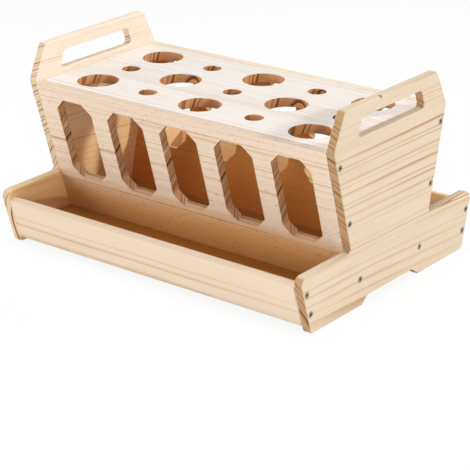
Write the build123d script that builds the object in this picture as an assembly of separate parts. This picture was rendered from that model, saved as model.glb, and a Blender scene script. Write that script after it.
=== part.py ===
from build123d import *

import os
from math import atan2, cos, degrees, sin, tan

# A wooden hay feeder: a hopper of two slotted racks between two end panels, a feeding
# trough along each long side, one floor under all three and a pierced lid that lifts out.
# Millimetres, +Z up, X along the feeder, the front on -Y, the origin on the ground under
# the middle.

# ---------------------------------------------------------------- driving sizes

inner_length = 380.0        # clear length between the two end panels

panel_thickness = 10.0      # end panels
rack_thickness = 10.0       # slotted boards of the hopper
trough_thickness = 10.0     # outer boards of the troughs
floor_thickness = 10.0
lid_thickness = 10.0

# End panel outline. Half widths are from the middle of the panel, heights from the ground.
panel_height = 208.0
panel_top_half = 77.8
shoulder_half = 95.2        # widest point of the hopper, under the handle
shoulder_height = 171.0
waist_half = 66.8           # inner corner between hopper and trough
waist_height = 61.5         # also the height of the trough arms
rim_half = 148.2            # outer end of the trough arms
base_half = 131.8           # outer end of the feet
panel_top_radius = 5.0
shoulder_radius = 12.0
waist_radius = 4.5
rim_radius = 8.0
base_radius = 4.0

# Arch between the two feet of an end panel.
arch_low_half = 49.0
arch_high_half = 39.0
arch_height = 7.8
arch_foot_radius = 3.0
arch_crown_radius = 6.0

# Handle slot, a little wider at the bottom.
handle_strip = 13.0         # wood left above the slot, the grip
handle_slot_height = 19.4
handle_low_half = 57.0
handle_high_half = 50.0
handle_radius = 4.5

# Slotted racks.
lid_top = 169.6             # the racks and the lid end flush at this height
slot_count = 5
slot_pitch = 71.5
slot_width = 49.0
slot_length = 96.2          # along the slope
slot_below_top = 15.5       # from the rack's top edge, along the slope
slot_chamfer = 11.4
slot_corner_radius = 3.0

# Lid holes: three rows of five, large and small in turn.
lid_hole_columns = 5
lid_hole_rows = 3
lid_hole_pitch_x = 70.3
lid_hole_pitch_y = 52.0
large_hole_radius = 22.4
small_hole_radius = 10.0
lid_side_gap = 0.3          # square to the sloping side edges
lid_end_gap = 0.5

# Floor and troughs.
floor_bottom = 9.0
trough_foot = 6.3           # lower outer edge of a trough board above the ground
trough_board_width = 46.0   # along the slope, so that its top lies below the arms

# Eased edges.
panel_edge = 1.0
board_edge = 1.2
slot_edge = 0.8
hole_edge = 0.8

# Countersunk screws with a cross recess, driven through the panels into the boards.
screw_length = 25.0
screw_radius = 1.75
head_radius = 3.5
head_height = 2.3
head_sink = 0.2             # top of the head below the face of the panel
recess_reach = 2.0
recess_width = 0.9
recess_depth = 1.2
recess_turn = 37.0          # each screw stops a little further round than the last
screw_clearance = 0.1       # all round a screw, in the panel and in its pilot hole
tip_clearance = 1.0         # pilot hole beyond the end of the screw

rack_screw_high = 153.8     # heights of the screws above the ground
rack_screw_low = 92.4
rack_foot_screw = 28.9
rack_foot_offset = 1.5      # the foot screw from the middle of the board, inwards
trough_screw_high = 42.7
trough_screw_low = 20.6

# ---------------------------------------------------------------- derived places

hopper_tilt = atan2(shoulder_half - waist_half, shoulder_height - waist_height)
trough_tilt = atan2(rim_half - base_half, waist_height)
floor_top = floor_bottom + floor_thickness
panel_outer_face = inner_length / 2 + panel_thickness
handle_high = panel_height - handle_strip
handle_low = handle_high - handle_slot_height


def hopper_half(height):
    """Half width of the hopper over the outer faces of the racks, at a height."""
    return waist_half + (height - waist_height) * tan(hopper_tilt)


def trough_half(height):
    """Half width of the feeder over the outer faces of the trough boards, at a height."""
    return base_half + height * tan(trough_tilt)


def rack_middle(height):
    """Middle of a rack's thickness, from the middle of the feeder."""
    return hopper_half(height) - rack_thickness / 2 / cos(hopper_tilt)


def trough_middle(height):
    """Middle of a trough board's thickness, from the middle of the feeder."""
    return trough_half(height) - trough_thickness / 2 / cos(trough_tilt)


def front_slope(half, height, tilt):
    """Plane on the outer face of a front board: X along it, Y up the slope, Z outwards."""
    outwards = (0, -cos(tilt), -sin(tilt))
    return Plane(origin=(0, -half, height), x_dir=(1, 0, 0), z_dir=outwards)


def half_turn(board):
    """The same board on the other side or end of the feeder."""
    return Rot(0, 0, 180) * board


# ---------------------------------------------------------------- screw places

rack_screws = [
    (rack_middle(rack_screw_high), rack_screw_high),
    (rack_middle(rack_screw_low), rack_screw_low),
    (rack_middle(rack_foot_screw) - rack_foot_offset, rack_foot_screw),
]
trough_screws = [
    (trough_middle(trough_screw_high), trough_screw_high),
    (trough_middle(trough_screw_low), trough_screw_low),
]

# Name of each screw by what it holds, with its place on the +Y half of a panel.
screw_places = {
    "rack_upper": rack_screws[0],
    "rack_lower": rack_screws[1],
    "rack_foot": rack_screws[2],
    "trough_upper": trough_screws[0],
    "trough_lower": trough_screws[1],
}


def end_plane(end, y, z, inset):
    """Plane square to the length, facing out of one end (-1 left, 1 right)."""
    return Plane(origin=(end * (panel_outer_face - inset), y, z), x_dir=(0, end, 0), z_dir=(end, 0, 0))


# ---------------------------------------------------------------- screws

def make_screw():
    """Countersunk screw, head up, with the top of its head on the XY plane."""
    profile = Polyline(
        (0, 0),
        (head_radius, 0),
        (screw_radius, -head_height),
        (screw_radius, -screw_length),
        (0, -screw_length),
        close=True,
    )
    body = revolve(Plane.XZ * make_face(profile), Axis.Z)
    arm = Box(2 * recess_reach, recess_width, recess_depth)
    cross = arm + Rot(0, 0, 90) * arm
    return body - Pos(0, 0, -recess_depth / 2) * cross


def make_screw_hole():
    """Countersunk hole through a panel, placed as the screw is, open above its head."""
    flare = (head_radius - screw_radius) / head_height
    narrow = screw_radius + screw_clearance
    wide = head_radius + screw_clearance + head_sink * flare
    profile = Polyline(
        (0, head_sink),
        (wide, head_sink),
        (narrow, -head_height),
        (narrow, -panel_thickness),
        (0, -panel_thickness),
        close=True,
    )
    return revolve(Plane.XZ * make_face(profile), Axis.Z)


def make_pilot_holes(places):
    """Pilot holes in both ends of a long board for the screws at these (y, z) places."""
    depth = screw_length + head_sink - panel_thickness + tip_clearance
    hole = Rot(0, 90, 0) * Cylinder(screw_radius + screw_clearance, depth)
    reach = (inner_length - depth) / 2
    return [Pos(end * reach, y, z) * hole for end in (-1, 1) for y, z in places]


# ---------------------------------------------------------------- end panels

def mirrored_outline(side):
    """Face closed from its +Y side, listed as (y, z, corner radius)."""
    other_side = [(-y, z, radius) for y, z, radius in reversed(side)]
    corners = side + other_side
    points = [(y, z) for y, z, radius in corners]
    radii = [radius for y, z, radius in corners]
    return make_face(FilletPolyline(*points, radius=radii, close=True))


def make_right_end_panel():
    outline = mirrored_outline([
        (arch_high_half, arch_height, arch_crown_radius),
        (arch_low_half, 0, arch_foot_radius),
        (base_half, 0, base_radius),
        (rim_half, waist_height, rim_radius),
        (waist_half, waist_height, waist_radius),
        (shoulder_half, shoulder_height, shoulder_radius),
        (panel_top_half, panel_height, panel_top_radius),
    ])
    handle = mirrored_outline([
        (handle_low_half, handle_low, handle_radius),
        (handle_high_half, handle_high, handle_radius),
    ])
    panel = extrude(Plane.YZ.offset(inner_length / 2) * (outline - handle), panel_thickness)
    across = panel.edges().group_by(Axis.X)
    panel = chamfer(across[0] + across[-1], panel_edge)
    for y, z in screw_places.values():
        for side in (-1, 1):
            panel -= end_plane(1, side * y, z, head_sink) * make_screw_hole()
    return panel


# ---------------------------------------------------------------- slotted racks

def opening_edges(face):
    """Edges of the openings in a face, without its outer edges."""
    return [edge for wire in face.inner_wires() for edge in wire.edges()]


def make_slot():
    """Long octagonal slot with eased corners."""
    octagon = chamfer(Rectangle(slot_width, slot_length).vertices(), slot_chamfer)
    return fillet(octagon.vertices(), slot_corner_radius)


def make_front_rack():
    slope_length = (lid_top - floor_top) / cos(hopper_tilt)
    trim = rack_thickness       # spare length at both ends of the slope, cut level below
    plate = Pos(0, -slope_length / 2) * Rectangle(inner_length, slope_length + 2 * trim)
    slot_middle = -slot_below_top - slot_length / 2
    for index in range(slot_count):
        x = (index - (slot_count - 1) / 2) * slot_pitch
        plate -= Pos(x, slot_middle) * make_slot()
    rack = extrude(plate, -rack_thickness)
    outer_face = rack.faces().sort_by(Axis.Z)[-1]
    rack = chamfer(opening_edges(outer_face), slot_edge)
    rack = front_slope(hopper_half(lid_top), lid_top, hopper_tilt) * rack

    rack_height = lid_top - floor_top
    level = Box(inner_length, 4 * hopper_half(lid_top), rack_height)
    rack = rack & Pos(0, 0, floor_top + rack_height / 2) * level
    top_outer_edge = rack.edges().filter_by(Axis.X).group_by(Axis.Z)[-1].sort_by(Axis.Y)[0]
    rack = chamfer(top_outer_edge, board_edge)
    for hole in make_pilot_holes([(-y, z) for y, z in rack_screws]):
        rack -= hole
    return rack


# ---------------------------------------------------------------- troughs and floor

def make_front_trough():
    foot = trough_foot / cos(trough_tilt)
    outline = Pos(0, foot + trough_board_width / 2) * Rectangle(inner_length, trough_board_width)
    board = extrude(outline, -trough_thickness)
    board = chamfer(board.edges().filter_by(Axis.X), board_edge)
    board = front_slope(base_half, 0, trough_tilt) * board
    for hole in make_pilot_holes([(-y, z) for y, z in trough_screws]):
        board -= hole
    return board


def long_bar(side, length):
    """Straight bar along X with a section that is the same on both sides of the middle."""
    section = mirrored_outline([(y, z, 0) for y, z in side])
    return extrude(Plane.YZ.offset(-length / 2) * section, length)


def make_floor():
    """Floor board, its long edges sloped to lie against the trough boards."""
    def reach(height):
        return trough_half(height) - trough_thickness / cos(trough_tilt)

    return long_bar([(reach(floor_bottom), floor_bottom), (reach(floor_top), floor_top)], inner_length)


# ---------------------------------------------------------------- lid

def make_lid():
    """Lid wedged between the racks, its long edges sloped as they are."""
    def reach(height):
        return hopper_half(height) - (rack_thickness + lid_side_gap) / cos(hopper_tilt)

    lid_bottom = lid_top - lid_thickness
    sides = [(reach(lid_bottom), lid_bottom), (reach(lid_top), lid_top)]
    lid = long_bar(sides, inner_length - 2 * lid_end_gap)
    for column in range(lid_hole_columns):
        for row in range(lid_hole_rows):
            across = column - (lid_hole_columns - 1) // 2
            along = row - (lid_hole_rows - 1) // 2
            is_large = (across + along) % 2 == 1
            radius = large_hole_radius if is_large else small_hole_radius
            place = Pos(across * lid_hole_pitch_x, along * lid_hole_pitch_y, lid_top)
            lid -= place * Cylinder(radius, 3 * lid_thickness)
    upper_face = lid.faces().sort_by(Axis.Z)[-1]
    return chamfer(opening_edges(upper_face), hole_edge)


# ---------------------------------------------------------------- pieces

right_end_panel = make_right_end_panel()
front_rack = make_front_rack()
front_trough = make_front_trough()

pieces = {
    "left_end_panel": half_turn(right_end_panel),
    "right_end_panel": right_end_panel,
    "front_slotted_board": front_rack,
    "back_slotted_board": half_turn(front_rack),
    "front_trough_board": front_trough,
    "back_trough_board": half_turn(front_trough),
    "floor_board": make_floor(),
    "lid_board": make_lid(),
}

screw = make_screw()
turn = 0.0
for end_name, end in (("left", -1), ("right", 1)):
    for side_name, side in (("front", -1), ("back", 1)):
        for place_name, (y, z) in screw_places.items():
            name = f"{end_name}_screw_{side_name}_{place_name}"
            pieces[name] = end_plane(end, side * y, z, head_sink) * Rot(0, 0, turn) * screw
            turn += recess_turn

os.makedirs("parts", exist_ok=True)
for name, piece in pieces.items():
    export_step(piece, f"parts/{name}.step")

print(f"{len(pieces)} pieces")
print(f"hopper tilt {degrees(hopper_tilt):.2f}, trough tilt {degrees(trough_tilt):.2f} degrees")
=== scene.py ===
# %% [markdown]
# # A hay feeder in bare pine
# The feeder is a hopper of two slotted racks between two end panels, with a trough along
# each side, a floor underneath and a pierced lid that lifts out. Its boards are 10 mm pine,
# sanded and left bare, and countersunk screws hold them.
# The measured model comes in as a frame of plain solids. This script builds finished boards
# over it, with rounded edges, and gives each one wood that is cut from a tree of its own.

# %% Load the frame
from math import atan2, cos, pi, radians, sin, tan

import bmesh
import bpy
from mathutils import Matrix, Quaternion, Vector
from mathutils.geometry import tessellate_polygon


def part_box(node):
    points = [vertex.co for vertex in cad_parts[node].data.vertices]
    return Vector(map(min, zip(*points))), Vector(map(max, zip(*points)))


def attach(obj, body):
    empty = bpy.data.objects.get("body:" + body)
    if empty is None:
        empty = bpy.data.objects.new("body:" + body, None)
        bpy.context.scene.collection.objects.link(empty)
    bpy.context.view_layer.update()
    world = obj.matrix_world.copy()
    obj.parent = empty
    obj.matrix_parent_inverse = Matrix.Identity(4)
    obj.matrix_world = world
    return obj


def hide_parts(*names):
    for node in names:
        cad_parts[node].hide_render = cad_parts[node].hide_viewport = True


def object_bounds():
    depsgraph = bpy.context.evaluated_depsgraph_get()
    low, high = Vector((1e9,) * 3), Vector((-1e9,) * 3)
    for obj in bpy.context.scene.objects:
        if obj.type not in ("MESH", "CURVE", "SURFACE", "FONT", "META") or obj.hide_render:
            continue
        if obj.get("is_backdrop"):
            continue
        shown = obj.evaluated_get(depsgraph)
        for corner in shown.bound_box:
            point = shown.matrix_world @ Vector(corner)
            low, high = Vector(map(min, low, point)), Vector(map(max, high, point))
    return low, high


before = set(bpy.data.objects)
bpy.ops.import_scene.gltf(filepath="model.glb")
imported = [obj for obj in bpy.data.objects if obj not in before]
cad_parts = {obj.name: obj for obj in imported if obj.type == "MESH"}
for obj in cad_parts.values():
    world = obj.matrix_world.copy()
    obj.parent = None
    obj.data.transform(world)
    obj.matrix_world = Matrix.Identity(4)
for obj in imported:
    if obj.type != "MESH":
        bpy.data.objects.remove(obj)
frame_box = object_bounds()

scene = bpy.context.scene
print("frame nodes:", len(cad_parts))

# %% [markdown]
# ## Sizes
# Blender works in metres, and a board is easier to read in millimetres, so every size is
# written as millimetres times MM. They are the sizes of the frame, and each finished piece
# is measured against its node once it is built.

# %% Sizes of the feeder
MM = 0.001
inner_length = 380 * MM         # between the end panels
board = 10 * MM                 # thickness of every board
waist_half, waist_height = 66.8 * MM, 61.5 * MM
shoulder_half, shoulder_height = 95.2 * MM, 171 * MM
rim_half, base_half = 148.2 * MM, 131.8 * MM
lid_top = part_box("lid_board")[1][2]
floor_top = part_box("floor_board")[1][2]
panel_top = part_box("right_end_panel")[1][2]

hopper_tilt = atan2(shoulder_half - waist_half, shoulder_height - waist_height)
trough_tilt = atan2(rim_half - base_half, waist_height)
print("lid top", round(lid_top / MM, 1), "floor top", round(floor_top / MM, 1), "mm")


def hopper_half(height):
    """Half width over the outer faces of the racks at a height."""
    return waist_half + (height - waist_height) * tan(hopper_tilt)


# %% [markdown]
# ## Placing finished meshes
# A finished piece keeps its object at the origin and its place in its mesh, as the frame
# does, so that a pattern on object coordinates stays with it. These helpers put a mesh in
# place, tie it to the node that it stands for, and print how well the two agree.

# %% Helper that ties a mesh to its node
def add_piece(name, mesh, body, slot_name, nodes):
    """Show a mesh as a finished piece that stands for one or more nodes of the frame."""
    piece = bpy.data.objects.new(name, mesh)
    scene.collection.objects.link(piece)
    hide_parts(*nodes)
    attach(piece, body)
    lows, highs = zip(*(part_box(node) for node in nodes))
    low = [min(corner[axis] for corner in lows) for axis in range(3)]
    high = [max(corner[axis] for corner in highs) for axis in range(3)]
    columns = list(zip(*(vertex.co for vertex in mesh.vertices)))
    misses = [abs(min(column) - end) for column, end in zip(columns, low)]
    misses += [abs(max(column) - end) for column, end in zip(columns, high)]
    print(f"{name}: {len(mesh.polygons)} faces, within {max(misses) / MM:.2f} mm of its node")
    return piece


# %% Helpers that put a mesh in place
half_turn = Matrix.Rotation(pi, 4, "Z")


def front_slope(half, height, tilt):
    """Place for a leaning front board: X along it, Y up the slope, Z out of its face."""
    up_slope = Vector((0, -sin(tilt), cos(tilt)))
    outwards = Vector((0, -cos(tilt), -sin(tilt)))
    place = Matrix((Vector((1, 0, 0)), up_slope, outwards)).transposed().to_4x4()
    place.translation = (0, -half, height)
    return place


def turned_copy(mesh, name):
    """The same board on the other side or end of the feeder."""
    copy = mesh.copy()
    copy.name = name
    copy.transform(half_turn)
    return copy


# %% [markdown]
# ## Geometry Nodes helpers
# The lid, the racks and the screws each follow a rule: holes large and small in turn, slots
# at one pitch, screws at twenty places. Geometry Nodes fit such pieces, because the rule is
# the tree, and its sizes are the tree's inputs. The tree's result becomes a plain mesh.

# %% A tree and its nodes
def new_tree(name, sizes):
    """A geometry tree with named inputs: sizes maps each name to a float or an int."""
    tree = bpy.data.node_groups.new(name, "GeometryNodeTree")
    tree.interface.new_socket("Geometry", in_out="OUTPUT", socket_type="NodeSocketGeometry")
    tree.interface.new_socket("Places", in_out="INPUT", socket_type="NodeSocketGeometry")
    for size_name, value in sizes.items():
        kind = "NodeSocketInt" if isinstance(value, int) else "NodeSocketFloat"
        tree.interface.new_socket(size_name, in_out="INPUT", socket_type=kind)
    return tree, tree.nodes.new("NodeGroupInput").outputs


def add_node(tree, kind, links=None, **settings):
    """Add a node, set its properties, and link or set its inputs by name or number."""
    node = tree.nodes.new(kind)
    for key, value in settings.items():
        setattr(node, key, value)
    for key, value in (links or {}).items():
        if isinstance(value, bpy.types.NodeSocket):
            tree.links.new(value, node.inputs[key])
        else:
            node.inputs[key].default_value = value
    return node


# %% Numbers and vectors in a tree
def math_node(tree, operation, *values, **settings):
    """Result of a Math node."""
    links = dict(enumerate(values))
    return add_node(tree, "ShaderNodeMath", links, operation=operation, **settings).outputs[0]


def product(tree, first, second):
    """One value times another."""
    return math_node(tree, "MULTIPLY", first, second)


def total(tree, first, second, **settings):
    """One value plus another."""
    return math_node(tree, "ADD", first, second, **settings)


def absolute(tree, value):
    """The value without its sign."""
    return math_node(tree, "ABSOLUTE", value)


def axes_of(tree, vector):
    """X, Y and Z of a vector, by name."""
    return add_node(tree, "ShaderNodeSeparateXYZ", {0: vector}).outputs


def vector_node(tree, x=0.0, y=0.0, z=0.0):
    """Vector from three numbers or sockets."""
    return add_node(tree, "ShaderNodeCombineXYZ", {0: x, 1: y, 2: z}).outputs[0]


# %% Moving geometry in a tree
def moved(tree, geometry, **change):
    """Geometry after a Transform node, given its Translation or its Rotation."""
    return add_node(tree, "GeometryNodeTransform", {0: geometry, **change}).outputs[0]


def position(tree):
    """Where each point of a geometry lies."""
    return add_node(tree, "GeometryNodeInputPosition").outputs[0]


def shifted(tree, geometry, chosen, offset):
    """Geometry with its chosen points moved by an offset."""
    links = {0: geometry, "Selection": chosen, "Offset": offset}
    return add_node(tree, "GeometryNodeSetPosition", links).outputs[0]


# %% The end of a tree and its result
bare_slot = bpy.data.materials.new("bare")


def finish_tree(tree, geometry):
    """End the tree with real geometry, not instances, and give it a material slot."""
    real = add_node(tree, "GeometryNodeRealizeInstances", {0: geometry})
    dressed = add_node(tree, "GeometryNodeSetMaterial", {0: real.outputs[0]})
    dressed.inputs["Material"].default_value = bare_slot
    add_node(tree, "NodeGroupOutput", {0: dressed.outputs[0]})


def run_tree(tree, sizes, source=None, edge=0.0):
    """Plain mesh of a tree's result, its sharp edges rounded by a bevel of this size."""
    carrier = bpy.data.objects.new("carrier", source or bpy.data.meshes.new("carrier"))
    scene.collection.objects.link(carrier)
    nodes = carrier.modifiers.new("nodes", "NODES")
    nodes.node_group = tree
    for item in tree.interface.items_tree:
        if item.name in sizes:
            nodes[item.identifier] = sizes[item.name]
    if edge:
        bevel = carrier.modifiers.new("rounded edges", "BEVEL")
        bevel.width, bevel.segments = edge, 4
        bevel.limit_method, bevel.angle_limit = "ANGLE", radians(35)
        bevel.harden_normals = True
    evaluated = carrier.evaluated_get(bpy.context.evaluated_depsgraph_get())
    mesh = bpy.data.meshes.new_from_object(evaluated)
    bpy.data.objects.remove(carrier)
    return mesh


print("every new mesh starts with the material", bare_slot.name)

# %% [markdown]
# ## A plate with openings
# The lid and the racks are both plates cut from an outline with holes in it. A Boolean for
# every hole would do, but it leaves long thin faces and is slow. Here a filled curve gives
# the lower face. Extruding it gives the walls and the upper face, and a flipped copy of the
# fill closes the underside.

# %% Plate from an outline and its openings
weld_distance = 0.001 * MM
same_place = 0.1 * MM           # how near a point has to be to count as on an edge


def plate_from_curves(tree, outline, openings, thickness):
    """Closed plate between z = -thickness and z = 0."""
    curves = add_node(tree, "GeometryNodeJoinGeometry", {0: outline})
    tree.links.new(openings, curves.inputs[0])
    filled = add_node(tree, "GeometryNodeFillCurve", {0: curves.outputs[0]}, mode="NGONS")
    drop = vector_node(tree, z=product(tree, thickness, -1.0))
    lower = moved(tree, filled.outputs[0], Translation=drop)
    raised = add_node(
        tree, "GeometryNodeExtrudeMesh", {0: lower, "Offset Scale": thickness, "Individual": False},
    )
    underside = add_node(tree, "GeometryNodeFlipFaces", {0: lower})
    shell = add_node(tree, "GeometryNodeJoinGeometry", {0: raised.outputs[0]})
    tree.links.new(underside.outputs[0], shell.inputs[0])
    links = {0: shell.outputs[0], "Distance": weld_distance}
    return add_node(tree, "GeometryNodeMergeByDistance", links).outputs[0]


# %% [markdown]
# ## Lid
# The lid is a loose board that lies wedged between the racks, so its long edges slope as
# they do. Three rows of five holes are pierced in it, large and small in turn. Both counts
# are odd, so every second point of the grid is a large hole, and the point's own number is
# all the rule needs. Fifteen circles placed by hand would look the same, but a change of
# pitch would then mean fifteen changes.

# %% Lid sizes
lid_end_gap, lid_side_gap = 0.5 * MM, 0.3 * MM
lid_sizes = {
    "Length": inner_length - 2 * lid_end_gap,
    "Half width": hopper_half(lid_top) - (board + lid_side_gap) / cos(hopper_tilt),
    "Thickness": board,
    "Edge slope": tan(hopper_tilt),
    "Columns": 5,
    "Rows": 3,
    "Pitch along": 70.3 * MM,
    "Pitch across": 52 * MM,
    "Large radius": 22.4 * MM,
    "Small radius": 10 * MM,
}

# %% Lid tree: outline and holes
lid_tree, lid_in = new_tree("lid", lid_sizes)
half_width = lid_in["Half width"]
outline = add_node(
    lid_tree, "GeometryNodeCurvePrimitiveQuadrilateral",
    {"Width": lid_in["Length"], "Height": product(lid_tree, half_width, 2.0)},
)


def span(tree, count, pitch):
    """Length of a row from its first point to its last."""
    return product(tree, math_node(tree, "SUBTRACT", count, 1.0), pitch)


grid = add_node(
    lid_tree, "GeometryNodeMeshGrid",
    {
        "Size X": span(lid_tree, lid_in["Columns"], lid_in["Pitch along"]),
        "Size Y": span(lid_tree, lid_in["Rows"], lid_in["Pitch across"]),
        "Vertices X": lid_in["Columns"],
        "Vertices Y": lid_in["Rows"],
    },
)
number = add_node(lid_tree, "GeometryNodeInputIndex").outputs[0]
is_small = math_node(lid_tree, "MODULO", number, 2.0)
radius = add_node(
    lid_tree, "GeometryNodeSwitch",
    {0: is_small, 1: lid_in["Large radius"], 2: lid_in["Small radius"]}, input_type="FLOAT",
)
circle = add_node(lid_tree, "GeometryNodeCurvePrimitiveCircle", {"Resolution": 96, "Radius": 1.0})
holes = add_node(
    lid_tree, "GeometryNodeInstanceOnPoints",
    {"Points": grid.outputs[0], "Instance": circle.outputs[0], "Scale": radius.outputs[0]},
)
holes = add_node(lid_tree, "GeometryNodeRealizeInstances", {0: holes.outputs[0]})
plate = plate_from_curves(lid_tree, outline.outputs[0], holes.outputs[0], lid_in["Thickness"])

# %% Lid tree: sloping edges
# The long edges lean in towards the underside: a point on the rim moves by its own depth.
axes = axes_of(lid_tree, position(lid_tree))
side = math_node(lid_tree, "SIGN", axes["Y"])
is_rim = math_node(lid_tree, "COMPARE", absolute(lid_tree, axes["Y"]), half_width, same_place)
lean = product(lid_tree, product(lid_tree, axes["Z"], lid_in["Edge slope"]), side)
finish_tree(lid_tree, shifted(lid_tree, plate, is_rim, vector_node(lid_tree, y=lean)))
print("lid tree:", len(lid_tree.nodes), "nodes")

# %% Lid piece
plate_edge = 0.9 * MM
lid_mesh = run_tree(lid_tree, lid_sizes, edge=plate_edge)
lid_mesh.transform(Matrix.Translation((0, 0, lid_top)))
lid = add_piece("pierced_lid", lid_mesh, "lid", "lid_pine", ["lid_board"])

# %% [markdown]
# ## Slotted racks
# Each rack leans outwards, and five long slots let the fill be pulled out. A slot is a
# rectangle whose corners are cut off, which a fillet of one segment does, and then eased by
# a second fillet. The board's ends are cut level, so that it stands flat on the floor.
# An Array modifier could repeat a cutter. A curve on a line of points gives the five slots
# and the plate in one tree, with the slot's sizes as its inputs.

# %% Rack sizes
rack_sizes = {
    "Length": inner_length,
    "Slope length": (lid_top - floor_top) / cos(hopper_tilt),
    "Thickness": board,
    "Level cut": tan(hopper_tilt),
    "Slots": 5,
    "Slot pitch": 71.5 * MM,
    "Slot width": 49 * MM,
    "Slot length": 96.2 * MM,
    "Slot below top": 15.5 * MM,
    "Corner cut": 11.4 * MM,
    "Corner radius": 3 * MM,
}

# %% Rack tree: outline and slots
rack_tree, rack_in = new_tree("rack", rack_sizes)
outline = add_node(
    rack_tree, "GeometryNodeCurvePrimitiveQuadrilateral",
    {"Width": rack_in["Length"], "Height": rack_in["Slope length"]},
)
to_top = vector_node(rack_tree, y=product(rack_tree, rack_in["Slope length"], -0.5))
outline = moved(rack_tree, outline.outputs[0], Translation=to_top)
slot_box = add_node(
    rack_tree, "GeometryNodeCurvePrimitiveQuadrilateral",
    {"Width": rack_in["Slot width"], "Height": rack_in["Slot length"]},
)


def fillet_curve(tree, curve, radius, segments):
    """Round every corner of a curve with this many segments; one segment cuts it off."""
    links = {0: curve, "Radius": radius, "Count": segments}
    return add_node(tree, "GeometryNodeFilletCurve", links, mode="POLY").outputs[0]


octagon = fillet_curve(rack_tree, slot_box.outputs[0], rack_in["Corner cut"], 1)
slot_shape = fillet_curve(rack_tree, octagon, rack_in["Corner radius"], 6)

# %% Rack tree: five slots in a row
first = product(rack_tree, span(rack_tree, rack_in["Slots"], rack_in["Slot pitch"]), -0.5)
half_slot = product(rack_tree, rack_in["Slot length"], 0.5)
middle = total(rack_tree, rack_in["Slot below top"], half_slot)
middle = product(rack_tree, middle, -1.0)
row = add_node(
    rack_tree, "GeometryNodeMeshLine",
    {
        "Count": rack_in["Slots"],
        "Start Location": vector_node(rack_tree, first, middle),
        "Offset": vector_node(rack_tree, rack_in["Slot pitch"]),
    },
)
slots = add_node(
    rack_tree, "GeometryNodeInstanceOnPoints", {"Points": row.outputs[0], "Instance": slot_shape},
)
slots = add_node(rack_tree, "GeometryNodeRealizeInstances", {0: slots.outputs[0]})
plate = plate_from_curves(rack_tree, outline, slots.outputs[0], rack_in["Thickness"])

# %% Rack tree: level ends
# The two ends of the slope are cut level: the inner face is lower there by the cut.
axes = axes_of(rack_tree, position(rack_tree))
half_slope = product(rack_tree, rack_in["Slope length"], 0.5)
from_middle = absolute(rack_tree, total(rack_tree, axes["Y"], half_slope))
is_end = math_node(rack_tree, "COMPARE", from_middle, half_slope, same_place)
lean = product(rack_tree, axes["Z"], rack_in["Level cut"])
finish_tree(rack_tree, shifted(rack_tree, plate, is_end, vector_node(rack_tree, y=lean)))
print("rack tree:", len(rack_tree.nodes), "nodes")

# %% Rack pieces
rack_mesh = run_tree(rack_tree, rack_sizes, edge=plate_edge)
rack_mesh.transform(front_slope(hopper_half(lid_top), lid_top, hopper_tilt))
front_rack = add_piece("front_rack", rack_mesh, "feeder", "rack_pine", ["front_slotted_board"])
back_mesh = turned_copy(rack_mesh, "back_rack")
back_rack = add_piece("back_rack", back_mesh, "feeder", "rack_pine", ["back_slotted_board"])

# %% [markdown]
# ## Boards with rounded edges
# The end panels and the trough boards have no rule to follow, so they are built in mesh
# code. Each loop of the board, the outline or an opening, is a stack of rings: the rings of
# an edge follow a quarter circle, and those of a screw hole follow its countersink. The
# flat faces fill the first and the last ring. A Bevel modifier could round the edges too,
# but it would also round the countersinks, which are sharp on the real panels.

# %% Loops with rounded corners
def rounded_loop(corners, segments=8):
    """Closed loop of points from corners given as (u, v, radius), in order."""
    points = []
    for index, (u, v, radius) in enumerate(corners):
        corner = Vector((u, v))
        before = Vector(corners[index - 1][:2]) - corner
        after = Vector(corners[(index + 1) % len(corners)][:2]) - corner
        half = before.angle(after) / 2
        bisector = (before.normalized() + after.normalized()).normalized()
        centre = corner + bisector * radius / sin(half)
        start = corner + before.normalized() * radius / tan(half) - centre
        end = corner + after.normalized() * radius / tan(half) - centre
        sweep = start.angle_signed(end)
        for step in range(segments + 1):
            turned = start.copy()
            turned.rotate(Matrix.Rotation(-sweep * step / segments, 2))
            points.append(centre + turned)
    return points


def circle_loop(u, v, radius, segments=32):
    """Round opening, listed clockwise so that the wood lies on its left."""
    angles = [-2 * pi * step / segments for step in range(segments)]
    return [Vector((u + radius * cos(angle), v + radius * sin(angle))) for angle in angles]


def inset_loop(points, distance):
    """The loop moved into the wood, which lies on its left."""
    ring = []
    for index, point in enumerate(points):
        before = (point - points[index - 1]).normalized()
        after = (points[(index + 1) % len(points)] - point).normalized()
        left_before = Vector((-before.y, before.x))
        left_after = Vector((-after.y, after.x))
        mitre = (left_before + left_after) / (1 + left_before.dot(left_after))
        ring.append(point + mitre * distance)
    return ring


# %% Board from stacked rings
def round_edge(radius, thickness, segments=4):
    """Rings (inset, depth) of a wall whose two edges are rounded."""
    angles = [pi / 2 * step / segments for step in range(segments + 1)]
    near = [(radius * (1 - sin(angle)), radius * (1 - cos(angle))) for angle in angles]
    far = [(inset, thickness - depth) for inset, depth in reversed(near)]
    return near + far


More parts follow.
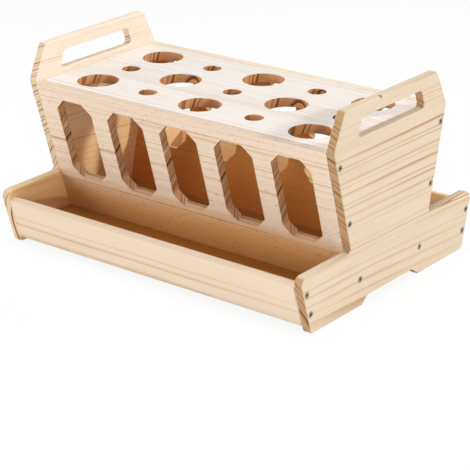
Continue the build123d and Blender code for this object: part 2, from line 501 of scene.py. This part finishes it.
def stacked_board(name, loops):
    """Mesh from (loop, rings) pairs, the outline first. Depth runs along -Z."""
    bm = bmesh.new()
    first_rings, last_rings = [], []
    for points, rings in loops:
        stack = [
            [bm.verts.new((p.x, p.y, -depth)) for p in inset_loop(points, inset)]
            for inset, depth in rings
        ]
        for upper, lower in zip(stack, stack[1:]):
            for index in range(len(points)):
                bm.faces.new((upper[index - 1], lower[index - 1], lower[index], upper[index]))
        first_rings.append(stack[0])
        last_rings.append(stack[-1])
    for rings, is_near in ((first_rings, True), (last_rings, False)):
        vertices = [vertex for ring in rings for vertex in ring]
        for triangle in tessellate_polygon([[vertex.co for vertex in ring] for ring in rings]):
            a, b, c = (vertices[index] for index in triangle)
            faces_up = (b.co - a.co).cross(c.co - a.co).z > 0
            bm.faces.new((a, b, c) if faces_up == is_near else (a, c, b))
    for face in bm.faces:
        face.smooth = True
    mesh = bpy.data.meshes.new(name)
    bm.to_mesh(mesh)
    bm.free()
    mesh.materials.append(bare_slot)
    return mesh


# %% Shading of flat wood
def even_shading(mesh):
    """Copy of a mesh whose normals follow its large faces, so that flat wood looks flat."""
    carrier = bpy.data.objects.new("carrier", mesh)
    scene.collection.objects.link(carrier)
    carrier.modifiers.new("weighted", "WEIGHTED_NORMAL").weight = 100
    evaluated = carrier.evaluated_get(bpy.context.evaluated_depsgraph_get())
    shaded = bpy.data.meshes.new_from_object(evaluated)
    bpy.data.objects.remove(carrier)
    return shaded


# %% [markdown]
# ## End panels
# Each end panel is one board, cut to the feeder's whole profile: two feet with a shallow
# arch between them, the arms that carry the troughs, the walls of the hopper, and shoulders
# that lead up to a handle. It could be drawn as a curve by hand, but a list of corners with
# a radius each is how a maker would mark it out. Only one side of the outline is listed,
# and the other mirrors it.

# %% Outline of an end panel
panel_side = [
    (39 * MM, 7.8 * MM, 6 * MM),
    (49 * MM, 0, 3 * MM),
    (base_half, 0, 4 * MM),
    (rim_half, waist_height, 8 * MM),
    (waist_half, waist_height, 4.5 * MM),
    (shoulder_half, shoulder_height, 12 * MM),
    (77.8 * MM, panel_top, 5 * MM),
]
handle_side = [(57 * MM, 175.6 * MM, 4.5 * MM), (50 * MM, 195 * MM, 4.5 * MM)]


def mirrored(side):
    """Whole outline, anticlockwise, from the corners of its right side."""
    return side + [(-u, v, radius) for u, v, radius in reversed(side)]


# %% Screw places, read from the frame
screw_nodes = [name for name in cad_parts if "_screw_" in name]
screw_places = {}
for node in screw_nodes:
    low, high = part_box(node)
    end = 1 if low[0] > 0 else -1
    face = max(high[0] * end, low[0] * end)
    screw_places[node] = Vector((end * face, (low[1] + high[1]) / 2, (low[2] + high[2]) / 2))
print("screws:", len(screw_places))

# %% End panel pieces
head_radius, shank_radius = 3.5 * MM, 1.75 * MM
head_height, countersink_rim = 2.3 * MM, 3.7 * MM
panel_edge = round_edge(1.3 * MM, board)
bore_inset = shank_radius + 0.1 * MM - countersink_rim
countersink = [(0, 0), (bore_inset, head_height + 0.2 * MM), (bore_inset, board)]
loops = [
    (rounded_loop(mirrored(panel_side)), panel_edge),
    (rounded_loop(mirrored(handle_side)[::-1]), panel_edge),
]
for node, place in screw_places.items():
    if node.startswith("right"):
        loops.append((circle_loop(place.y, place.z, countersink_rim), countersink))
panel_mesh = even_shading(stacked_board("right_panel", loops))
outer_face = inner_length / 2 + board
panel_place = Matrix(((0, 0, 1, outer_face), (1, 0, 0, 0), (0, 1, 0, 0), (0, 0, 0, 1)))
panel_mesh.transform(panel_place)
right_panel = add_piece("right_panel", panel_mesh, "feeder", "panel_pine", ["right_end_panel"])
left_mesh = turned_copy(panel_mesh, "left_panel")
left_panel = add_piece("left_panel", left_mesh, "feeder", "panel_pine", ["left_end_panel"])

# %% [markdown]
# ## Trough boards
# A trough board is a plain plank that leans out with the arms of the end panels. A scaled
# cube would have its size, but what makes it look like wood is its eased edges, so it is
# built from rings as the panels are.

# %% Trough pieces
trough_foot, trough_width = 6.3 * MM, 46 * MM
low_edge = trough_foot / cos(trough_tilt)
high_edge = low_edge + trough_width
half_length, corner_radius = inner_length / 2, 0.3 * MM
plank = [
    (-half_length, low_edge, corner_radius),
    (half_length, low_edge, corner_radius),
    (half_length, high_edge, corner_radius),
    (-half_length, high_edge, corner_radius),
]
plank_loops = [(rounded_loop(plank, 2), round_edge(1.2 * MM, board))]
plank_mesh = even_shading(stacked_board("front_trough", plank_loops))
plank_mesh.transform(front_slope(base_half, 0, trough_tilt))
trough_looks = ("feeder", "trough_pine")
front_trough = add_piece("front_trough", plank_mesh, *trough_looks, ["front_trough_board"])
back_mesh = turned_copy(plank_mesh, "back_trough")
back_trough = add_piece("back_trough", back_mesh, *trough_looks, ["back_trough_board"])

# %% [markdown]
# ## Screws
# Twenty countersunk screws hold the boards. Each has a flat head with a cross recess, and
# each stopped at its own turn when it was driven home. A head could be spun from a profile,
# but its recess has to be cut anyway, so two cones and one cross-shaped cut make it. One
# tree makes a screw and sets a copy of it on every point of a small mesh, turned a little
# further each time.

# %% Screw sizes
screw_sizes = {
    "Head radius": head_radius,
    "Shank radius": shank_radius,
    "Head height": head_height,
    "Length": 25 * MM,
    "Recess reach": 2.3 * MM,
    "Recess width": 1.15 * MM,
    "Recess depth": 1.5 * MM,
    "Turn": radians(37),
}

# %% Screw tree: head
screw_tree, screw_in = new_tree("screws", screw_sizes)


def cone_between(tree, wide, narrow, depth, lowest):
    """Closed cone along Z, its wide end up, from a lowest height over a depth."""
    links = {"Vertices": 40, "Radius Top": wide, "Radius Bottom": narrow, "Depth": depth}
    cone = add_node(tree, "GeometryNodeMeshCone", links)
    return moved(tree, cone.outputs[0], Translation=vector_node(tree, z=lowest))


def negative(tree, value):
    """The value with its sign changed."""
    return product(tree, value, -1.0)


wide, narrow = screw_in["Head radius"], screw_in["Shank radius"]
rim = product(screw_tree, screw_in["Head height"], 0.12)
cone_foot = negative(screw_tree, screw_in["Head height"])
cone_depth = math_node(screw_tree, "SUBTRACT", screw_in["Head height"], rim)
head = cone_between(screw_tree, wide, narrow, cone_depth, cone_foot)
crown_top = product(screw_tree, wide, 0.94)
crown = cone_between(screw_tree, crown_top, wide, rim, negative(screw_tree, rim))

# %% Screw tree: cross recess
wing_size = vector_node(
    screw_tree, product(screw_tree, screw_in["Recess reach"], 2.0),
    screw_in["Recess width"], product(screw_tree, screw_in["Recess depth"], 2.0),
)
wing_box = add_node(screw_tree, "GeometryNodeMeshCube", {"Size": wing_size})
axes = axes_of(screw_tree, position(screw_tree))
is_deep = math_node(screw_tree, "LESS_THAN", axes["Z"], 0.0)
narrowed = vector_node(
    screw_tree, product(screw_tree, axes["X"], -0.6),
    product(screw_tree, axes["Y"], -0.35),
)
wing = shifted(screw_tree, wing_box.outputs[0], is_deep, narrowed)
other_wing = moved(screw_tree, wing, Rotation=(0, 0, pi / 2))


def boolean(tree, operation, links, another):
    """Exact Boolean of its linked meshes and another one."""
    node = add_node(
        tree, "GeometryNodeMeshBoolean", links, operation=operation, solver="EXACT",
    )
    tree.links.new(another, node.inputs["Mesh 2"])
    return node.outputs[0]


solid_head = boolean(screw_tree, "UNION", {"Mesh 2": head}, crown)
cut_head = boolean(
    screw_tree, "DIFFERENCE", {"Mesh 1": solid_head, "Mesh 2": wing}, other_wing,
)
shank_depth = math_node(screw_tree, "SUBTRACT", screw_in["Length"], screw_in["Head height"])
shank_end = negative(screw_tree, screw_in["Length"])
shank = cone_between(screw_tree, narrow, narrow, shank_depth, shank_end)
screw = add_node(screw_tree, "GeometryNodeJoinGeometry", {0: cut_head})
screw_tree.links.new(shank, screw.inputs[0])

# %% Screw tree: one at every place
# Each screw is turned about its own axis, and laid down so that its head faces out.
number = add_node(screw_tree, "GeometryNodeInputIndex").outputs[0]
turn = vector_node(screw_tree, z=product(screw_tree, number, screw_in["Turn"]))
end_sign = math_node(screw_tree, "SIGN", axes_of(screw_tree, position(screw_tree))["X"])
face_out = vector_node(screw_tree, y=product(screw_tree, end_sign, pi / 2))
rotation = add_node(screw_tree, "FunctionNodeRotateRotation", rotation_space="LOCAL")
for value, socket in ((face_out, 0), (turn, 1)):
    euler = add_node(screw_tree, "FunctionNodeEulerToRotation", {0: value})
    screw_tree.links.new(euler.outputs[0], rotation.inputs[socket])
screws = add_node(
    screw_tree, "GeometryNodeInstanceOnPoints",
    {"Points": screw_in["Places"], "Instance": screw.outputs[0], "Rotation": rotation.outputs[0]},
)
finish_tree(screw_tree, screws.outputs[0])
print("screw tree:", len(screw_tree.nodes), "nodes")

# %% Screw piece
places_mesh = bpy.data.meshes.new("screw places")
places_mesh.from_pydata(list(screw_places.values()), [], [])
screw_mesh = run_tree(screw_tree, screw_sizes, source=places_mesh, edge=0.12 * MM)
screws = add_piece("screws", screw_mesh, "feeder", "screw_steel", screw_nodes)

# %% [markdown]
# ## Pine, as a solid
# A board shows straight lines, cathedrals or end grain according to how it was cut from the
# trunk. A picture of wood on the surface would run the wrong way round every hole and end.
# So the wood is a solid pattern: rings round a pith line that runs along X, bent a little
# by noise. Each board lays that solid through itself in its own place, and holes, slots and
# ends then show the grain that a saw would find.

# %% Helpers for shader trees
def vector_math(tree, operation, first, second):
    """Vector result of a Vector Math node."""
    links = {0: first, 1: second}
    return add_node(tree, "ShaderNodeVectorMath", links, operation=operation).outputs[0]


def noise(tree, place, stretch, detail=2.0, roughness=0.5, seed=0.0):
    """Noise, about -0.5 to 0.5, whose grain is 1/stretch metres along each axis."""
    scaled = vector_math(tree, "MULTIPLY", place, stretch)
    links = {"Vector": scaled, "W": seed, "Scale": 1.0, "Detail": detail, "Roughness": roughness}
    texture = add_node(tree, "ShaderNodeTexNoise", links, noise_dimensions="4D")
    return math_node(tree, "SUBTRACT", texture.outputs["Fac"], 0.5)


def smooth_range(tree, value, low, high, to_low=0.0, to_high=1.0):
    """A value carried smoothly from one range to another."""
    node = add_node(
        tree, "ShaderNodeMapRange",
        {"Value": value, "From Min": low, "From Max": high, "To Min": to_low, "To Max": to_high},
        interpolation_type="SMOOTHSTEP",
    )
    return node.outputs[0]


def mix_colours(tree, share, first, second):
    """First colour where the share is 0 and second where it is 1."""
    node = add_node(tree, "ShaderNodeMix", {"Factor": share}, data_type="RGBA")
    for value, socket in ((first, node.inputs[6]), (second, node.inputs[7])):
        if isinstance(value, bpy.types.NodeSocket):
            tree.links.new(value, socket)
        else:
            socket.default_value = (*value[:3], 1.0)
    return node.outputs[2]


# %% Pine group: what a board chooses
pine_inputs = {
    "Place": "NodeSocketVector",
    "Facing": "NodeSocketVector",
    "Sheltered": "NodeSocketFloat",
    "Light": "NodeSocketColor",
    "Heart": "NodeSocketColor",
    "Band": "NodeSocketColor",
    "Cut": "NodeSocketColor",
    "End": "NodeSocketColor",
    "Inside": "NodeSocketVector",
    "Across": "NodeSocketFloat",
    "Ring": "NodeSocketFloat",
    "Heart radius": "NodeSocketFloat",
    "Wander": "NodeSocketFloat",
    "Contrast": "NodeSocketFloat",
    "Flecks": "NodeSocketFloat",
    "Seed": "NodeSocketFloat",
}
pine = bpy.data.node_groups.new("pine", "ShaderNodeTree")
for name, kind in pine_inputs.items():
    pine.interface.new_socket(name, in_out="INPUT", socket_type=kind)
pine.interface.new_socket("Color", in_out="OUTPUT", socket_type="NodeSocketColor")
pine.interface.new_socket("Roughness", in_out="OUTPUT", socket_type="NodeSocketFloat")
pine.interface.new_socket("Height", in_out="OUTPUT", socket_type="NodeSocketFloat")
wood = add_node(pine, "NodeGroupInput").outputs
print("pine group:", len(pine_inputs), "inputs")


# %% Pine group: the rings
def seed_plus(shift):
    """The board's seed, moved on so that another noise is unlike the first."""
    return total(pine, wood["Seed"], shift)


# The pith line wanders, slowly along the grain and faster across it.
drift_y = noise(pine, wood["Place"], (2.2, 8, 8), seed=wood["Seed"])
drift_z = noise(pine, wood["Place"], (2.2, 8, 8), seed=seed_plus(31.7))
wave = noise(pine, wood["Place"], (7, 30, 30), detail=2, seed=seed_plus(8.2))
wave = product(pine, wave, 0.22)
drift = vector_node(pine, y=total(pine, drift_y, wave), z=total(pine, drift_z, wave))
links = {0: drift, "Scale": wood["Wander"]}
drift = add_node(pine, "ShaderNodeVectorMath", links, operation="SCALE").outputs[0]
axes = axes_of(pine, vector_math(pine, "ADD", wood["Place"], drift))
spread = vector_node(pine, y=axes["Y"], z=axes["Z"])
from_pith = add_node(pine, "ShaderNodeVectorMath", {0: spread}, operation="LENGTH").outputs["Value"]
age = math_node(pine, "DIVIDE", from_pith, wood["Ring"])

# %% Pine group: good and bad years
# The rings are unequal in width, and only some end in a strong line.
years = add_node(
    pine, "ShaderNodeTexNoise",
    {"W": product(pine, age, 0.37), "Detail": 1.0, "Scale": 1.0}, noise_dimensions="1D",
)
age = total(pine, age, product(pine, years.outputs["Fac"], 3.0))
season = math_node(pine, "FRACT", age)
rise = smooth_range(pine, season, 0.35, 0.9)
rise = math_node(pine, "POWER", rise, 2.0)
fall = smooth_range(pine, season, 0.92, 1.0, 1.0, 0.0)
late_wood = product(pine, rise, fall)
number = total(pine, math_node(pine, "FLOOR", age), wood["Seed"])
year = add_node(pine, "ShaderNodeTexWhiteNoise", {"W": number}, noise_dimensions="1D")
strength = smooth_range(pine, year.outputs["Value"], 0.2, 1.0, 0.25, 1.0)
hard_lines = product(pine, late_wood, math_node(pine, "MAXIMUM", strength, 0.5))
late_wood = product(pine, late_wood, strength)
patch = noise(pine, wood["Place"], (4, 22, 22), detail=2, seed=seed_plus(5.3))
soft_wood = product(pine, late_wood, smooth_range(pine, patch, -0.2, 0.15, 0.25, 1.0))

# %% Pine group: fibres and heartwood
fibre = noise(pine, wood["Place"], (30, 900, 900), detail=3, roughness=0.6, seed=wood["Seed"])
cloud = noise(pine, wood["Place"], (4, 30, 30), detail=2, seed=seed_plus(12.1))
canal = noise(pine, wood["Place"], (150, 1500, 1500), detail=1, seed=seed_plus(3.9))
fleck = product(pine, smooth_range(pine, canal, 0.15, 0.22), wood["Flecks"])
streak = noise(pine, wood["Place"], (14, 190, 190), detail=2, seed=seed_plus(21.4))
ragged = total(pine, from_pith, product(pine, cloud, 0.03))
from_heart = math_node(pine, "SUBTRACT", ragged, wood["Heart radius"])
heartwood = smooth_range(pine, from_heart, -0.015, 0.02, 1.0, 0.0)
base = mix_colours(pine, heartwood, wood["Light"], wood["Heart"])
banding = product(pine, soft_wood, wood["Contrast"])
banding = total(pine, banding, product(pine, cloud, 0.3))
banding = total(pine, banding, product(pine, streak, 0.42))
banding = total(pine, banding, product(pine, fibre, 0.14), use_clamp=True)
flat_grain = mix_colours(pine, banding, base, wood["Band"])

# %% Pine group: end grain
# X runs along the grain and Y through the board, so the way a face looks tells its kind.
# End grain is darker, with its rings drawn close and hard. Rounded edges stay pale even on
# end grain: a painted highlight.
facing = axes_of(pine, wood["Facing"])
end_grain = smooth_range(pine, absolute(pine, facing["X"]), 0.25, 0.75)
# Painted shade: walls along the grain below the lid top take the cut tone by the Across share.
along_grain_shade = product(pine, wood["Across"], wood["Sheltered"])
end_grain = math_node(pine, "MAXIMUM", end_grain, along_grain_shade)
on_edge = smooth_range(pine, absolute(pine, facing["Y"]), 0.25, 0.65, 1.0, 0.0)
end_grain = product(pine, end_grain, on_edge)
pores = noise(pine, wood["Place"], (300, 1400, 1400), detail=2, seed=wood["Seed"])
end_tone = total(pine, product(pine, hard_lines, 1.2), product(pine, pores, 0.4))
end_tone = total(pine, end_tone, 0.12, use_clamp=True)
end_cut = mix_colours(pine, end_tone, wood["Cut"], wood["End"])
colour = mix_colours(pine, end_grain, flat_grain, end_cut)
colour = mix_colours(pine, product(pine, fleck, 0.6), colour, wood["End"])
roughness = smooth_range(pine, banding, 0.0, 1.0, 0.62, 0.5)

# %% Pine group: inner faces and results
# Painted light and shade: below the lid top, a board's inner face is multiplied by its
# inside colour, darker and more orange as painted shade, or brighter as painted light.
looks_in = smooth_range(pine, facing["Y"], -0.6, -0.3, 1.0, 0.0)
painted_inner_share = product(pine, looks_in, wood["Sheltered"])
painted_inner_colour = vector_math(pine, "MULTIPLY", colour, wood["Inside"])
colour = mix_colours(pine, painted_inner_share, colour, painted_inner_colour)
height = total(pine, product(pine, late_wood, 0.5), fibre)
add_node(pine, "NodeGroupOutput", {0: colour, 1: roughness, 2: height})
print("pine group:", len(pine.nodes), "nodes")

# %% [markdown]
# ## One material for each board
# A board's material lays the solid along its grain, puts the pith line somewhere outside
# the board, and chooses the tones. A pith far below the board's lower edge gives straight
# lines, and one close behind its face gives cathedrals. In every turned frame X runs along
# the grain and Y points out of the board's outer face. That lets one rule tell the faces
# from the cut walls: walls take the cut tone, which is strongest across the grain. Walls
# along the grain below the lid top take a share of it as painted shade, and inner faces
# below the lid top take painted light and shade from their inside colour. The lid takes the
# cut tone in its holes only, and its own edges keep nearly the pale tone of its top. Eight
# materials by hand would drift apart, so one function makes them all.

# %% The frame of a board
dark_line = (0.16, 0.055, 0.02)
no_knot = (0, 0, -1)            # a knot so far below the feeder touches no board


def mapped(tree, vector, turn, pith=(0, 0, 0)):
    """A vector in the turned frame of a board, measured from its pith."""
    links = {"Vector": vector, "Rotation": turn, "Location": pith}
    return add_node(tree, "ShaderNodeMapping", links, vector_type="TEXTURE").outputs[0]


# %% Where a point of the board lies
def pine_inputs_for(tree, texture, turn, pith, tones, cut, across, cut_reach):
    """The inputs of the pine group that depend on where a point of the board lies."""
    spot = axes_of(tree, texture["Object"])
    under_lid = smooth_range(tree, spot["Z"], lid_top - 1.2 * MM, lid_top - 0.2 * MM, 1.0, 0.0)
    within_reach = math_node(tree, "MINIMUM", *(
        smooth_range(tree, absolute(tree, spot[axis]), reach, reach + 0.5 * MM, 1.0, 0.0)
        for axis, reach in zip("XY", cut_reach)
    ))
    return {
        "Place": mapped(tree, texture["Object"], turn, pith),
        "Facing": mapped(tree, texture["Normal"], turn),
        "Sheltered": under_lid,
        "Across": product(tree, within_reach, across),
        "Cut": mix_colours(tree, within_reach, tones["Heart"], cut),
    }


# %% Pine for one board
def pine_material(
    name, turn, pith, light, heart, band, cut,
    inside=(1, 1, 1), across=0.0, cut_reach=(1, 1), knot=no_knot, **numbers,
):
    """Pine whose pith line passes through a point and lies along X of the turned frame."""
    material = bpy.data.materials.new(name)
    material.use_nodes = True
    tree = material.node_tree
    shader = tree.nodes["Principled BSDF"]
    texture = add_node(tree, "ShaderNodeTexCoord").outputs
    tones = {"Light": (*light, 1), "Heart": (*heart, 1), "Band": (*band, 1), "End": (*dark_line, 1)}
    values = pine_inputs_for(tree, texture, turn, pith, tones, cut, across, cut_reach)
    values.update(tones, Inside=inside)
    for key, number in numbers.items():
        values[key.replace("_", " ").capitalize()] = number
    group = add_node(tree, "ShaderNodeGroup", values, node_tree=pine)
    links = {"Strength": 0.25, "Distance": 0.2 * MM, "Height": group.outputs["Height"]}
    bump = add_node(tree, "ShaderNodeBump", links)
    links = {0: texture["Object"], 1: knot}
    from_knot = add_node(tree, "ShaderNodeVectorMath", links, operation="DISTANCE")
    knot_share = smooth_range(tree, from_knot.outputs["Value"], 1.2 * MM, 3.2 * MM, 0.75, 0.0)
    colour = mix_colours(tree, knot_share, group.outputs["Color"], dark_line)
    tree.links.new(colour, shader.inputs["Base Color"])
    tree.links.new(group.outputs["Roughness"], shader.inputs["Roughness"])
    tree.links.new(bump.outputs[0], shader.inputs["Normal"])
    shader.inputs["Specular IOR Level"].default_value = 0.08
    return material


# %% Helper that gives a piece its finish
def dress(piece, material):
    """Give a piece, new or of the frame, its finished material."""
    for material_slot in piece.material_slots:
        material_slot.link = "OBJECT"
        material_slot.material = material


# %% Looks of the lid and the racks
# The lid's pith lies far off, so its lines run straight, and its hole walls take the
# orange cut tone all round, partly as painted shade. The racks' inner faces take a deep
# orange painted shade from their inside colours, and the front rack's heart tone darkens
# its lower part, partly heartwood and partly painted shade.
quarter = pi / 2
boards = {}
boards[lid] = dict(
    turn=(quarter, 0, 0), pith=(0, -0.5, 0.3),
    light=(0.8, 0.75, 0.7), heart=(0.76, 0.66, 0.57),
    band=(0.58, 0.38, 0.26), cut=(0.74, 0.37, 0.16), across=1.0, cut_reach=(170 * MM, 76 * MM),
    ring=7 * MM, heart_radius=0.3, wander=6 * MM, contrast=0.6, flecks=0.15,
)
# Painted shade: deep orange inner face, and a dark heart tone low on the board.
boards[front_rack] = dict(
    turn=(pi + hopper_tilt, 0, 0), pith=(0, 0.12, -0.1),
    light=(0.69, 0.565, 0.44), heart=(0.63, 0.325, 0.12),
    band=(0.44, 0.21, 0.07), cut=(0.62, 0.35, 0.17), across=0.35, inside=(0.8, 0.4, 0.13),
    ring=6 * MM, heart_radius=0.24, wander=12 * MM, contrast=0.9, flecks=1.0,
)
# Painted shade: deep orange inner face.
boards[back_rack] = dict(
    turn=(-hopper_tilt, 0, 0), pith=(0, -0.1, -0.1),
    light=(0.82, 0.7, 0.55), heart=(0.74, 0.56, 0.38),
    band=(0.5, 0.3, 0.13), cut=(0.88, 0.55, 0.24), across=0.6, inside=(0.84, 0.42, 0.14),
    ring=8 * MM, heart_radius=0.22, wander=14 * MM, contrast=0.6, flecks=0.5,
)

# %% Looks of the end panels
# Each pith runs low behind its panel's face, so the lines lie wide apart at the foot.
boards[right_panel] = dict(
    turn=(0, 0, 0.03 - quarter), pith=(0.11, 0, -0.03),
    light=(0.66, 0.545, 0.4), heart=(0.66, 0.51, 0.34),
    band=(0.4, 0.21, 0.075), cut=(0.47, 0.29, 0.15),
    ring=6.5 * MM, heart_radius=0.04, wander=10 * MM, contrast=1.3, flecks=0.3,
    knot=(198.5 * MM, -20 * MM, 207.5 * MM),
)
# Painted light: the inner face is brightened by the inside colour.
boards[left_panel] = dict(
    turn=(0, 0, quarter - 0.06), pith=(-0.12, 0, 0.02),
    light=(0.83, 0.71, 0.57), heart=(0.78, 0.6, 0.4),
    band=(0.42, 0.2, 0.07), cut=(0.68, 0.52, 0.36), inside=(1.18, 1.02, 0.78),
    ring=5 * MM, heart_radius=0.1, wander=16 * MM, contrast=0.6, flecks=0.3,
)

# %% Looks of the trough boards and the floor
# The trough boards' inner faces take painted light and shade from their inside colours:
# brighter on the back one, darker on the front one. The floor is the darkest board, and its
# tones are painted shade and bounce light: its strip in the trough is a deep orange brown.
# Painted shade: the inner face is darkened by the inside colour.
boards[front_trough] = dict(
    turn=(pi + trough_tilt, 0, 0), pith=(0, -0.1, 0.3),
    light=(0.665, 0.54, 0.41), heart=(0.63, 0.475, 0.33),
    band=(0.48, 0.3, 0.15), cut=(0.5, 0.3, 0.16), inside=(0.9, 0.7, 0.5),
    ring=12 * MM, heart_radius=0.1, wander=12 * MM, contrast=0.9, flecks=0.2,
)
# Painted light: the inner face is brightened by the inside colour.
boards[back_trough] = dict(
    turn=(-trough_tilt, 0, 0), pith=(0, 0.1, 0.3),
    light=(0.84, 0.66, 0.46), heart=(0.8, 0.58, 0.36),
    band=(0.5, 0.3, 0.14), cut=(0.5, 0.3, 0.16), inside=(1.15, 0.95, 0.68),
    ring=10 * MM, heart_radius=0.1, wander=12 * MM, contrast=0.45, flecks=0.2,
)
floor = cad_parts["floor_board"]
# Painted shade: every tone of the floor is set dark and deep orange.
boards[floor] = dict(
    turn=(quarter, 0, 0), pith=(0, 0.3, 0.05),
    light=(0.38, 0.15, 0.03), heart=(0.34, 0.12, 0.022),
    band=(0.2, 0.065, 0.013), cut=(0.3, 0.12, 0.03),
    ring=8 * MM, heart_radius=0.1, wander=16 * MM, contrast=0.7, flecks=0.3,
)

# %% Pine for every board
for count, (piece, looks) in enumerate(boards.items(), start=1):
    dress(piece, pine_material(piece.name + " pine", seed=float(count), **looks))
print("boards in pine:", len(boards))

# %% [markdown]
# ## Screw steel
# The heads are zinc plated steel: grey and a little blotched. What lies below the face of
# the panel, the cross recess and the cone, is coloured near black: painted shade. A second
# material on the recess would do, but it would need its faces picked out. The depth below
# the panel's face tells the same, and holds for every screw at once.

# %% Screw material
steel = bpy.data.materials.new("zinc plated steel")
steel.use_nodes = True
tree = steel.node_tree
texture = add_node(tree, "ShaderNodeTexCoord").outputs
blotch = noise(tree, texture["Object"], (700, 700, 700), detail=3)
share = smooth_range(tree, blotch, -0.2, 0.2)
tone = mix_colours(tree, share, (0.3, 0.27, 0.22), (0.58, 0.53, 0.44))
# Painted shade: the recess and cone below the panel's face are coloured near black.
from_middle = absolute(tree, axes_of(tree, texture["Object"])["X"])
depth = math_node(tree, "SUBTRACT", outer_face, from_middle)
painted_recess_shade = smooth_range(tree, depth, 0.06 * MM, 0.4 * MM)
tone = mix_colours(tree, painted_recess_shade, tone, (0.012, 0.011, 0.01))
shader = tree.nodes["Principled BSDF"]
tree.links.new(tone, shader.inputs["Base Color"])
tree.links.new(smooth_range(tree, blotch, -0.2, 0.2, 0.45, 0.3), shader.inputs["Roughness"])
shader.inputs["Metallic"].default_value = 0.9
dress(screws, steel)
print("steel:", len(tree.nodes), "nodes")

# %% [markdown]
# ## White studio
# The feeder stands on a white floor, with white all round it. A world bright enough to look
# white would also flood the hopper with light, and the real one is dark inside. So the
# world and the floor look white to the eye, straight or mirrored, and are dim to the rays
# that carry light on. The floor keeps a little of its own shading, for the shadow.

# %% What the eye sees
def seen_by_eye(tree):
    """1 for a ray that the camera sends out or sees mirrored, and 0 for one that lights."""
    kinds = add_node(tree, "ShaderNodeLightPath").outputs
    seen = math_node(tree, "MAXIMUM", kinds["Is Camera Ray"], kinds["Is Glossy Ray"])
    return math_node(tree, "MAXIMUM", seen, kinds["Is Transmission Ray"])


def show_white(tree, share, dim, white, output):
    """Mix a dim shader with a white one by a share, and send the result out."""
    links = {0: share, 1: dim, 2: white}
    mix = add_node(tree, "ShaderNodeMixShader", links)
    tree.links.new(mix.outputs[0], tree.nodes[output].inputs["Surface"])


# %% World
world = bpy.data.worlds.new("studio")
world.use_nodes = True
scene.world = world
sky = world.node_tree
background = sky.nodes["Background"]
background.inputs["Color"].default_value = (1, 0.985, 0.96, 1)
background.inputs["Strength"].default_value = 0.08
white = add_node(sky, "ShaderNodeBackground", {"Color": (1, 1, 1, 1), "Strength": 1.0})
show_white(sky, seen_by_eye(sky), background.outputs[0], white.outputs[0], "World Output")
print("world:", len(sky.nodes), "nodes")

# %% Floor
floor_reach = 12
floor_mesh = bpy.data.meshes.new("studio_floor")
signs = [(-1, -1), (1, -1), (1, 1), (-1, 1)]
corners = [(x * floor_reach, y * floor_reach, 0) for x, y in signs]
floor_mesh.from_pydata(corners, [], [(0, 1, 2, 3)])
studio_floor = bpy.data.objects.new("studio_floor", floor_mesh)
scene.collection.objects.link(studio_floor)
studio_floor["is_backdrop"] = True
paper = bpy.data.materials.new("white paper")
paper.use_nodes = True
tree = paper.node_tree
sheet = tree.nodes["Principled BSDF"]
sheet.inputs["Base Color"].default_value = (0.95, 0.95, 0.95, 1)
sheet.inputs["Roughness"].default_value = 0.9
glow = add_node(tree, "ShaderNodeEmission", {"Color": (1, 1, 1, 1), "Strength": 1.0})
share = product(tree, seen_by_eye(tree), 0.88)
show_white(tree, share, sheet.outputs[0], glow.outputs[0], "Material Output")
floor_mesh.materials.append(paper)
print("floor:", 2 * floor_reach, "m wide")

# %% [markdown]
# ## Lamps
# Four area lamps light the feeder. A wide one hangs overhead, a large card stands in front
# and to the left, a weaker card in front and to the right, and a small low lamp behind and
# to the right sends its light through the back slots onto the boards inside. Small lamps
# cast sharp light and large ones soft light, which is why only the low one is small. A sun
# and a sky would need less work, but their light can't be kept to one side of the hopper.

# %% Lamps
def soft_lamp(name, place, width, height, power, aim=(0, 0, 0.1)):
    """An area lamp that looks at a point in the feeder."""
    lamp = bpy.data.lights.new(name, "AREA")
    lamp.shape, lamp.size, lamp.size_y, lamp.energy = "RECTANGLE", width, height, power
    holder = bpy.data.objects.new(name, lamp)
    holder.location = place
    holder.rotation_mode = "QUATERNION"
    holder.rotation_quaternion = (Vector(aim) - Vector(place)).to_track_quat("-Z", "Y")
    scene.collection.objects.link(holder)


soft_lamp("overhead", (0.1, -0.1, 2.0), 1.6, 1.2, 27)
soft_lamp("front card", (-1.9, -1.9, 0.7), 2.2, 1.4, 58)
soft_lamp("corner card", (1.9, -2.0, 0.8), 2.2, 1.4, 29)
soft_lamp("low key", (2.88, 2.42, 1.46), 0.26, 0.26, 96)
print("lamps:", len(bpy.data.lights))

# %% [markdown]
# ## Camera
# The photograph was taken from the front right with a long lens, which keeps the far end of
# the feeder nearly as large as the near one. A camera can be placed by eye, but an edge that
# is a few pixels off shows at once. These angles, the distance and the lens were found by
# fitting the corners, the holes and the screws of the feeder to the photograph.

# %% Camera
azimuth, elevation, roll = radians(39.555), radians(22.224), radians(-1.184)
target = Vector((19.85, -24.46, 22.89)) * MM
distance = 1891.4 * MM
camera = bpy.data.cameras.new("camera")
camera.lens, camera.sensor_width, camera.clip_end = 138.43, 36, 30
holder = bpy.data.objects.new("camera", camera)
scene.collection.objects.link(holder)
scene.camera = holder
ground = cos(elevation)
backwards = Vector((sin(azimuth) * ground, -cos(azimuth) * ground, sin(elevation)))
holder.location = target + backwards * distance
holder.rotation_mode = "QUATERNION"
facing_feeder = (-backwards).to_track_quat("-Z", "Y")
holder.rotation_quaternion = facing_feeder @ Quaternion((0, 0, 1), roll)
scene.view_settings.view_transform = "Standard"
print("camera:", round(distance / MM), "mm from its target")

# %% [markdown]
# ## Last measure
# The box around the finished pieces is kept beside the frame's own, so that anyone can see
# that the finish did not make the feeder larger or smaller.

# %% Sizes and finish
sizes = {"frame": frame_box, "piece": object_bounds()}
for name, box in sizes.items():
    print(name, [[round(value / MM, 1) for value in corner] for corner in box])
